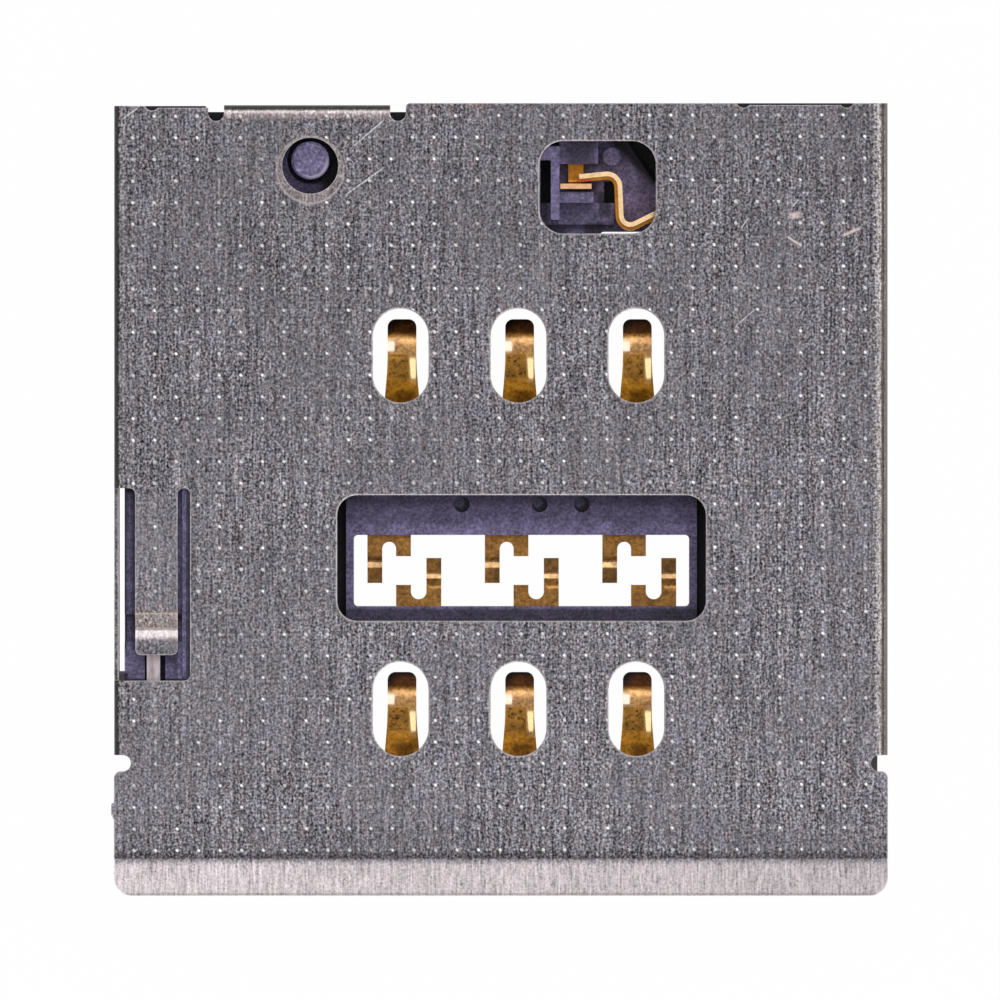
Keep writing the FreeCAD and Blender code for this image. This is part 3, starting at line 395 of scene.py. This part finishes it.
plastic = {"housing": (0.190, 0.163, 0.305), "lever": (0.095, 0.080, 0.150), "speckAndHighlight": (0.62, 0.58, 0.70),
           "fine": (15.0, 2.0, 0.6), "fineDepth": 1.2, "blotch": (3.0, 3.0, 0.6), "blotchDepth": 0.8,
           "darkest": 0.3, "gamma": 2.2, "roughness": 0.5, "roughDepth": 0.3, "bump": 0.5,
           "bumpHeight": 0.02 * mm, "leverGloss": 0.15, "shade": 0.95, "wallShade": (0.3, 0.8, 0.5, 1.0)}
# painted shade on the floors of the deep pockets, and on rims behind the cover's notches
shadedPlaces = {"facing": (0.3, 0.7), "pockets": (0.30, 0.40), "rearRim": (8.08, 8.12), "rightRim": (7.88, 7.92),
          "rightAbove": (1.0, 1.2)}
# switch bay: painted shadow in its rear right corner and round a pin mark, and painted light beside the
# spring
bay = {"wide": (0.80, 3.40, 0.03), "long": (5.62, 7.80, 0.02), "below": (0.95, 1.05),
       "corner": (9.93, 10.24), "wander": 0.25, "pin": (2.395, 7.40), "pinRim": (0.185, 0.215, 0.015),
       "pinShade": 0.6, "pale": 0.75, "paleWide": (1.95, 2.95, 0.15), "paleRear": (6.1, 6.4)}
bars = {"middle": 0.4, "half": (3.9, 4.3), "rear": (-0.80, 0.10, 0.02), "front": (-2.80, -2.36, 0.04),
        "frontShade": 0.67, "stain": (-0.23, -0.03), "shadowWander": 0.5, "shadowDepth": 0.5,
        "frontEdge": (-0.60, -0.45), "edgeLight": 0.25, "rightEnd": (3.2, 3.6), "rightLight": 0.4}
rail = {"long": (-3.95, 0.30, 0.05), "right": (-6.6, -6.5), "crest": (-6.97, -6.885, 0.01),
        "crestLight": 1.3}
# painted shadows: left, right and softness, front, rear and softness, and depth; far ends lie outside the
# plan
far = 12.0
bayShadows = [
    (-far, 1.425, 0.125, -far, 5.94, 0.08, 0.75),
    (-far, 1.00, 0.04, -far, far, 0.04, 0.6),
    (1.80, 2.24, 0.08, -far, 5.975, 0.045, 0.7),
    (1.42, 2.08, 0.12, 7.175, far, 0.075, 0.62),
    (2.10, 2.38, 0.06, 6.10, 6.60, 0.08, 0.75),
    (1.36, 2.05, 0.10, 6.66, 7.02, 0.10, 0.6),
    (1.30, 2.20, 0.05, 5.90, 6.55, 0.05, 0.15),
]
railShadows = [
    (-far, -8.07, 0.02, -3.25, far, 0.05, 0.75),
    (-7.97, -7.86, 0.03, -3.25, far, 0.05, 0.55),
    (-6.785, -6.60, 0.015, -far, far, 0.05, 0.7),
    (-6.885, -6.865, 0.012, -far, far, 0.05, 0.6),
    (-far, far, 0.05, -far, -3.8725, 0.0125, 0.85),
    (-far, -8.05, 0.03, -far, -3.74, 0.04, 0.95),
    (-far, -7.825, 0.025, 0.125, far, 0.075, 0.9),
]
pinMarks = {"places": [(-0.84, -0.11), (0.84, -0.11), (1.75, -0.11)], "edge": (0.16, 0.17),
            "offset": (-0.05, 0.04), "side": (0.06, 0.14), "dark": 0.9}
post = {"centre": (-4.11, 7.306), "above": (1.30, 1.35), "rim": (0.335, 0.39, 0.015), "rimShare": 0.6,
        "lit": (0.55, -0.83), "litFrom": (0.05, 0.35), "speck": (0.63, 0.70), "speckEdge": (0.36, 0.40),
        "speckShare": 0.5}
# painted shade on the lever near its pivot hole, darkest to the right
film = {"hole": (-4.11, 7.19), "edge": (0.66, 0.72), "thick": (0.86, 0.5), "from": (-0.25, 0.15),
        "dark": 0.95}


class Plastic:
    def __init__(self, name, piece):
        self.piece = piece
        self.material, self.sheet = newMaterial(name)
        self.place = self.sheet.places()
        self.fine = self.sheet.noise(self.place, *plastic["fine"])
        self.blotch = self.sheet.noise(self.place, *plastic["blotch"])
        value = 1 + plastic["fineDepth"] * (self.fine - 0.5) + plastic["blotchDepth"] * (self.blotch - 0.5)
        self.value = value.most(plastic["darkest"]) ** plastic["gamma"]

    def finish(self, skin, **inputs):
        bumps = self.sheet.bump(self.fine + self.blotch, plastic["bump"], plastic["bumpHeight"])
        self.sheet.finish(Base_Color=skin, Normal=bumps, **inputs,
                          Roughness=plastic["roughness"] + plastic["roughDepth"] * (self.fine - 0.5))
        dress([self.piece], self.material)


def deepest(x, y, patches):
    mask = None
    for left, right, sideSoft, front, rear, endSoft, depth in patches:
        patch = x.band(left, right, sideSoft) * y.band(front, rear, endSoft) * depth
        mask = mask.most(patch) if mask else patch
    return mask


class HousingPlastic(Plastic):
    def __init__(self):
        super().__init__("housing_plastic", "housing")
        self.x, self.y, self.z = self.sheet.split(self.place)
        self.up = self.sheet.facing()
        # painted shade, gathered in dark
        deep = self.z.fall(*shadedPlaces["pockets"]).most(self.y.ramp(*shadedPlaces["rearRim"]))
        deep = deep.most(self.x.ramp(*shadedPlaces["rightRim"]) * self.z.ramp(*shadedPlaces["rightAbove"]))
        self.dark = deep * self.up.ramp(*shadedPlaces["facing"])

    def bayLightAndShade(self):                                  # painted shadows on the floor, and painted light beside the spring
        x, y = self.x, self.y
        inBay = x.band(*bay["wide"]) * y.band(*bay["long"]) * self.z.fall(*bay["below"])
        corner = (x + y + bay["wander"] * (self.blotch - 0.5)).ramp(*bay["corner"])
        pin = self.sheet.toPoint(self.place, *bay["pin"]).band(*bay["pinRim"]) * bay["pinShade"]
        self.dark = self.dark.most(deepest(x, y, bayShadows).most(corner).most(pin) * inBay)
        pale = x.band(*bay["paleWide"]) * y.ramp(*bay["paleRear"]) * inBay
        self.value = self.value * (1 + bay["pale"] * pale)

    def centreBars(self):                                 # behind and before the centre opening: painted shadow and painted light on the rear bar, painted shade on the front bar
        x, y = self.x, self.y
        inWindow = abs(x - bars["middle"]).fall(*bars["half"])
        onRear = y.band(*bars["rear"]) * inWindow
        # painted shadow hanging from the cover's rear edge over the rear bar
        stained = (y + bars["shadowWander"] * (self.blotch - 0.5)).ramp(*bars["stain"])
        value = self.value * (1 - bars["shadowDepth"] * stained * onRear)
        value = value * (1 + bars["edgeLight"] * y.fall(*bars["frontEdge"]) * onRear)
        value = value * (1 - bars["frontShade"] * y.band(*bars["front"]) * inWindow)
        self.value = value * (1 + bars["rightLight"] * x.ramp(*bars["rightEnd"]) * onRear)

    def fingerRail(self):
        # painted shade along the rail's edges, its front line and the corner by the finger, and painted
        # light on its crest
        byFinger = self.y.band(*rail["long"]) * self.x.fall(*rail["right"])
        self.dark = self.dark.most(deepest(self.x, self.y, railShadows) * byFinger)
        self.value = self.value * (1 + rail["crestLight"] * self.x.band(*rail["crest"]) * byFinger)

    def pins(self):                                       # moulding pin marks with painted shade on one side
        offsetX, offsetY = pinMarks["offset"]
        for x, y in pinMarks["places"]:
            inside = self.sheet.toPoint(self.place, x, y).fall(*pinMarks["edge"])
            side = self.sheet.toPoint(self.place, x + offsetX, y + offsetY).ramp(*pinMarks["side"])
            self.dark = self.dark.most(inside * side * pinMarks["dark"])

    def postHighlightAndSpecks(self):                                 # a painted highlight on the lit side of the post top's rim, and light specks
        fromCentre = self.sheet.toPoint(self.place, *post["centre"])
        lit = self.sheet.past(self.place, post["centre"], post["lit"]).ramp(*post["litFrom"])
        rim = fromCentre.band(*post["rim"]) * lit * post["rimShare"]
        specks = self.fine.ramp(*post["speck"]) * fromCentre.fall(*post["speckEdge"]) * post["speckShare"]
        return rim.most(specks) * self.z.ramp(*post["above"])

    def make(self):
        # painted light and painted shade on the bay, bars, rail and pin marks
        for wear in (self.bayLightAndShade, self.centreBars, self.fingerRail, self.pins):
            wear()
        # painted shade in the hollows and on faces that do not look up
        value = self.value * (1 - plastic["shade"] * self.dark) * self.up.ramp(*plastic["wallShade"])
        skin = self.sheet.shade(plastic["housing"], value)
        self.finish(self.sheet.mix(self.postHighlightAndSpecks(), skin, plastic["speckAndHighlight"]))


def leverPlastic():                                       # with painted shade near the pivot hole, darkest at the right
    lever = Plastic("lever_plastic", "eject_lever")
    near = lever.sheet.toPoint(lever.place, *film["hole"]).fall(*film["edge"])
    dark = near * lever.sheet.past(lever.place, film["hole"], film["thick"]).ramp(*film["from"])
    skin = lever.sheet.shade(plastic["lever"], lever.value * (1 - film["dark"] * dark))
    lever.finish(skin, Specular_IOR_Level=plastic["leverGloss"])


# Gold-plated contacts: their finish, then places in millimetres from the middle of a contact

gold = {"tail": (0.49, 0.230, 0.052), "beam": (0.95, 0.45, 0.066), "crown": (0.79, 0.42, 0.155),
        "tip": (0.23, 0.075, 0.014), "root": (1.0, 0.44, 0.036), "rootShade": (0.20, 0.065, 0.002),
        "sparkHighlight": (0.55, 0.485, 0.385), "stripeHighlight": (0.60, 0.46, 0.245), "stain": (0.10, 0.040, 0.006),
        "dark": (0.02, 0.013, 0.008), "glint": (0.51, 0.32, 0.16), "metal": 0.45, "rootDull": 0.7,
        "grit": (13.0, 3.0, 0.6), "gritDepth": 1.1, "broad": (3.5, 2.0, 0.5), "broadDepth": 0.6,
        "darkest": 0.3, "gamma": 2.2, "roughness": 0.30, "roughDepth": 0.2, "wornRough": 0.15,
        "bump": 1.0, "bumpHeight": 0.004 * mm, "bumpLeast": 0.4}
contact = {"pitch": 2.54, "rowPitch": 7.62, "columnX": 0.405, "rowY": 3.10, "beamLevel": (0.34, 0.42),
           "crown": (0.05, 0.42, 0.06), "tip": (0.40, 0.52), "root": (-0.62, -0.42),
           "rootShade": (-0.82, -0.68), "rootMiddle": 0.06, "rootSides": (0.10, 0.30, 1.0, 0.2),
           "rootShare": 0.78,
           "cornerSlant": 0.9, "corner": (0.60, 0.90), "tipEnd": (0.68, 0.76), "cornerShare": 0.95,
           "wornWide": (-0.29, 0.14, 0.03), "wornLong": (-0.47, 0.03, 0.03), "worn": (0.40, 3.8),
           "stripeSlant": 0.07, "stripeX": 0.130, "stripeSide": (-0.03, 0.05),
           "stripeLong": (-0.55, 0.0, 0.13), "stripeEdge": (0.285, 0.325, 1.0, 0.1),
           "sparkSide": (-0.19, -0.12), "sparkLong": (0.08, 0.33, 0.06)}
# solder tails, measured along the part: painted highlight where they turn level, painted shade at the foot
tails = {"rearSide": (-0.42, -0.40), "rearGlint": (-1.48, -1.345, 0.03), "rearFoot": (-1.50, -1.47),
         "frontSide": (0.48, 0.50), "frontGlint": (-1.72, -1.61, 0.03), "frontFoot": (-1.60, -1.57),
         "dimming": 0.37}


def contactGold(pieces):
    material, sheet = newMaterial("contact_gold_plate")
    place = sheet.places()
    x, y, z = sheet.split(place)
    across = (x - contact["columnX"]).wrap(contact["pitch"])
    along = (y - contact["rowY"]).wrap(contact["rowPitch"])
    grit = sheet.noise(place, *gold["grit"])
    stipple = 1 + gold["gritDepth"] * (grit - 0.5)
    stipple = stipple + gold["broadDepth"] * (sheet.noise(place, *gold["broad"]) - 0.5)
    stipple = stipple.most(gold["darkest"]) ** gold["gamma"]
    beam = z.ramp(*contact["beamLevel"])
    # tails: painted highlights at the bends, painted shade at the foot
    rear, front = across.fall(*tails["rearSide"]), across.ramp(*tails["frontSide"])
    glint = (rear * y.band(*tails["rearGlint"]) + front * y.band(*tails["frontGlint"])).unit() * (1 - beam)
    foot = rear * y.fall(*tails["rearFoot"]) + front * y.ramp(*tails["frontFoot"])
    tail = sheet.mix(glint, sheet.shade(gold["tail"], 1 - tails["dimming"] * foot), gold["glint"])
    # painted highlight on the crown, painted shade on the tip bent down, and the root with painted shade at
    # its far end
    skin = sheet.mix(along.band(*contact["crown"]), gold["beam"], gold["crown"])
    skin = sheet.mix(along.ramp(*contact["tip"]), skin, gold["tip"])
    root = along.fall(*contact["root"])
    skin = sheet.mix(root, skin, gold["root"])
    shaded = abs(across - contact["rootMiddle"]).ramp(*contact["rootSides"])
    shaded = along.fall(*contact["rootShade"]) * shaded
    skin = sheet.mix(shaded * contact["rootShare"], skin, gold["rootShade"])
    skin = sheet.shade(sheet.mix(beam, tail, skin), stipple)
    # painted shade in the tip's corner, and the worn patch below the crown
    corner = (along - contact["cornerSlant"] * across).ramp(*contact["corner"])
    corner = corner.most(along.ramp(*contact["tipEnd"])) * beam
    skin = sheet.mix(corner * contact["cornerShare"], skin, gold["dark"])
    patch = across.band(*contact["wornWide"]) * along.band(*contact["wornLong"]) * beam
    least, gain = contact["worn"]
    skin = sheet.mix((patch * (least + gain * (grit - 0.5))).unit(), skin, gold["stain"])
    # painted highlights along one edge and on a spot
    stripeHighlight = (across + contact["stripeSlant"] * along - contact["stripeX"]).ramp(*contact["stripeSide"])
    stripeHighlight = stripeHighlight * along.band(*contact["stripeLong"]) * across.ramp(*contact["stripeEdge"]) * beam
    skin = sheet.mix(stripeHighlight, skin, gold["stripeHighlight"])
    spot = across.fall(*contact["sparkSide"]) * along.band(*contact["sparkLong"]) * beam
    skin = sheet.mix(spot, skin, gold["sparkHighlight"])
    bright = stripeHighlight.most(spot).most(glint)
    metal = gold["metal"] * (1 - gold["rootDull"] * root * beam)
    bumps = sheet.bump(grit * (gold["bumpLeast"] + patch), gold["bump"], gold["bumpHeight"])
    roughness = gold["roughness"] + gold["roughDepth"] * (grit - 0.5) + gold["wornRough"] * patch
    sheet.finish(Base_Color=skin, Metallic=metal.most(bright), Normal=sheet.lean(bright, bumps),
                 Roughness=roughness)
    dress(pieces, material)


# Detect switch: spring strip and blade, both on edge

switch = {"edge": (0.47, 0.335, 0.19), "blade": (0.42, 0.24, 0.128), "flank": (0.90, 0.36, 0.036),
          "glow": (0.85, 0.12, 0.03), "metal": 0.6, "grit": (9.0, 3.0, 0.6), "gritShade": (0.4, 1.2),
          "roughness": 0.32, "roughDepth": 0.15, "edgeLevel": (1.065, 1.085),
          "tipWide": (1.70, 1.95, 0.04), "tipLong": (6.80, 6.91, 0.02), "tipAbove": (0.9, 1.0),
          "bladeRight": (2.00, 2.04), "bladeRear": (6.80, 6.84)}


def switchGold(pieces):
    material, sheet = newMaterial("switch_gold_plate")
    place = sheet.places()
    x, y, z = sheet.split(place)
    grit = sheet.noise(place, *switch["grit"])
    edge = z.ramp(*switch["edgeLevel"])
    # painted red glint on the spring's flank near its tip
    tip = x.band(*switch["tipWide"]) * y.band(*switch["tipLong"]) * z.ramp(*switch["tipAbove"])
    flank = sheet.mix(tip, switch["flank"], switch["glow"])
    onBlade = x.fall(*switch["bladeRight"]) * y.fall(*switch["bladeRear"])
    upper = sheet.mix(onBlade, switch["edge"], switch["blade"])
    least, gain = switch["gritShade"]
    sheet.finish(Base_Color=sheet.shade(sheet.mix(edge, flank, upper), least + gain * grit),
                 Metallic=(switch["metal"] * (1 - tip)).most(edge), Normal=sheet.lean(edge, sheet.normal()),
                 Roughness=switch["roughness"] + switch["roughDepth"] * (grit - 0.5))
    dress(pieces, material)


# Eject rod

rod = {"steel": (0.98, 0.84, 0.87), "metal": 0.8, "grain": ((14.0, 2.5, 6.0), 3.0, 0.6),
       "grainShade": (0.3, 1.4), "roughness": 0.4, "roughDepth": 0.2}


def rodSteel(pieces):
    material, sheet = newMaterial("satin_rod_steel")
    grain = sheet.noise(sheet.places(), *rod["grain"])
    least, gain = rod["grainShade"]
    sheet.finish(Base_Color=sheet.shade(rod["steel"], least + gain * grain), Metallic=rod["metal"],
                 Roughness=rod["roughness"] + rod["roughDepth"] * (grain - 0.5))
    dress(pieces, material)


CoverSteel().make()
HousingPlastic().make()
leverPlastic()
contactGold([name for name in nodes if "_contact_" in name])
switchGold(["detect_spring", "detect_terminal"])
rodSteel(["eject_rod"])
print("materials made")


# Floor with a low round backdrop, in metres, white where the camera and the metal see it

stage = {"radius": 1.6, "bend": 0.25, "bendRise": 0.1, "wall": 0.35, "steps": 64, "drop": 0.01 * mm,
         "merge": 0.0001, "paper": (0.86, 0.86, 0.86), "white": (1.0, 1.0, 1.0), "glow": 0.985}


def paperFloor():
    material, sheet = newMaterial("white_paper")
    rays = sheet.node("ShaderNodeLightPath").socket.node.outputs
    seen = Wire(sheet, rays["Is Camera Ray"]) + Wire(sheet, rays["Is Glossy Ray"])
    seen = (seen + Wire(sheet, rays["Is Transmission Ray"])).unit()
    paper = sheet.node("ShaderNodeBsdfDiffuse", inputs={"Color": colour(stage["paper"])})
    glow = sheet.node("ShaderNodeEmission", inputs={"Color": colour(stage["white"]), "Strength": 1.0})
    blend = sheet.node("ShaderNodeMixShader", inputs=[seen * stage["glow"], paper, glow])
    sheet.node("ShaderNodeOutputMaterial", inputs={"Surface": blend})
    mesh = bmesh.new()
    low, inner, outer = -stage["drop"], stage["radius"], stage["radius"] + stage["bend"]
    line = [(0, low), (inner, low), (outer, stage["bendRise"]), (outer, stage["wall"])]
    points = [mesh.verts.new((r, 0, h)) for r, h in line]
    edges = [mesh.edges.new(pair) for pair in zip(points, points[1:])]
    bmesh.ops.spin(mesh, geom=points + edges, cent=(0, 0, 0), axis=(0, 0, 1), angle=2 * math.pi,
                   steps=stage["steps"], use_merge=True)
    bmesh.ops.remove_doubles(mesh, verts=mesh.verts, dist=stage["merge"])
    data = bpy.data.meshes.new("paper_floor")
    mesh.to_mesh(data)
    mesh.free()
    floor = bpy.data.objects.new("paper_floor", data)
    floor.data.materials.append(material)
    bpy.context.scene.collection.objects.link(floor)


paperFloor()


# Soft studio light: a dim sky, boxes behind and to the right, and a low one in front

# each box's place and size in metres, and its power in watts
lamps = [("rear_box", (0.10, 0.45, 0.52), (0.55, 0.34), 1.2),
         ("right_box", (0.55, 0.05, 0.34), (0.40, 0.30), 0.8),
         ("front_box", (0.33, -0.57, 0.22), (0.75, 0.22), 0.75)]
sky = {"level": 0.42, "tint": (1.0, 0.985, 1.0)}


def studioLight():
    for name, spot, size, power in lamps:
        light = bpy.data.lights.new(name, "AREA")
        light.shape = "RECTANGLE"
        light.size, light.size_y = size
        light.energy = power
        lamp = bpy.data.objects.new(name, light)
        lamp.location = spot
        lamp.rotation_euler = Vector(spot).to_track_quat("Z", "Y").to_euler()
        bpy.context.scene.collection.objects.link(lamp)
    world = bpy.data.worlds.new("studio")
    world.use_nodes = True
    bpy.context.scene.world = world
    sheet = Sheet(world.node_tree)
    back = sheet.node("ShaderNodeBackground", inputs={
        "Color": colour(sky["tint"]), "Strength": sky["level"]})
    sheet.node("ShaderNodeOutputWorld", inputs={"Surface": back})


studioLight()


# Camera straight above, framed as the photograph; millimetres, and metres for the clip range

view = {"centre": (-0.0194, -0.0151), "width": 21.557, "distance": 400.0, "plateTop": 1.48, "film": 36.0,
        "clip": (0.01, 20.0)}


def lookDown():
    camera = bpy.data.cameras.new("overhead")
    camera.sensor_width = view["film"]
    camera.lens = view["film"] * view["distance"] / view["width"]
    camera.clip_start, camera.clip_end = view["clip"]
    eye = bpy.data.objects.new("overhead", camera)
    x, y = view["centre"]
    eye.location = (x * mm, y * mm, (view["distance"] + view["plateTop"]) * mm)
    bpy.context.scene.collection.objects.link(eye)
    bpy.context.scene.camera = eye


lookDown()
bpy.context.scene.view_settings.view_transform = "Standard"
print("light and camera set")
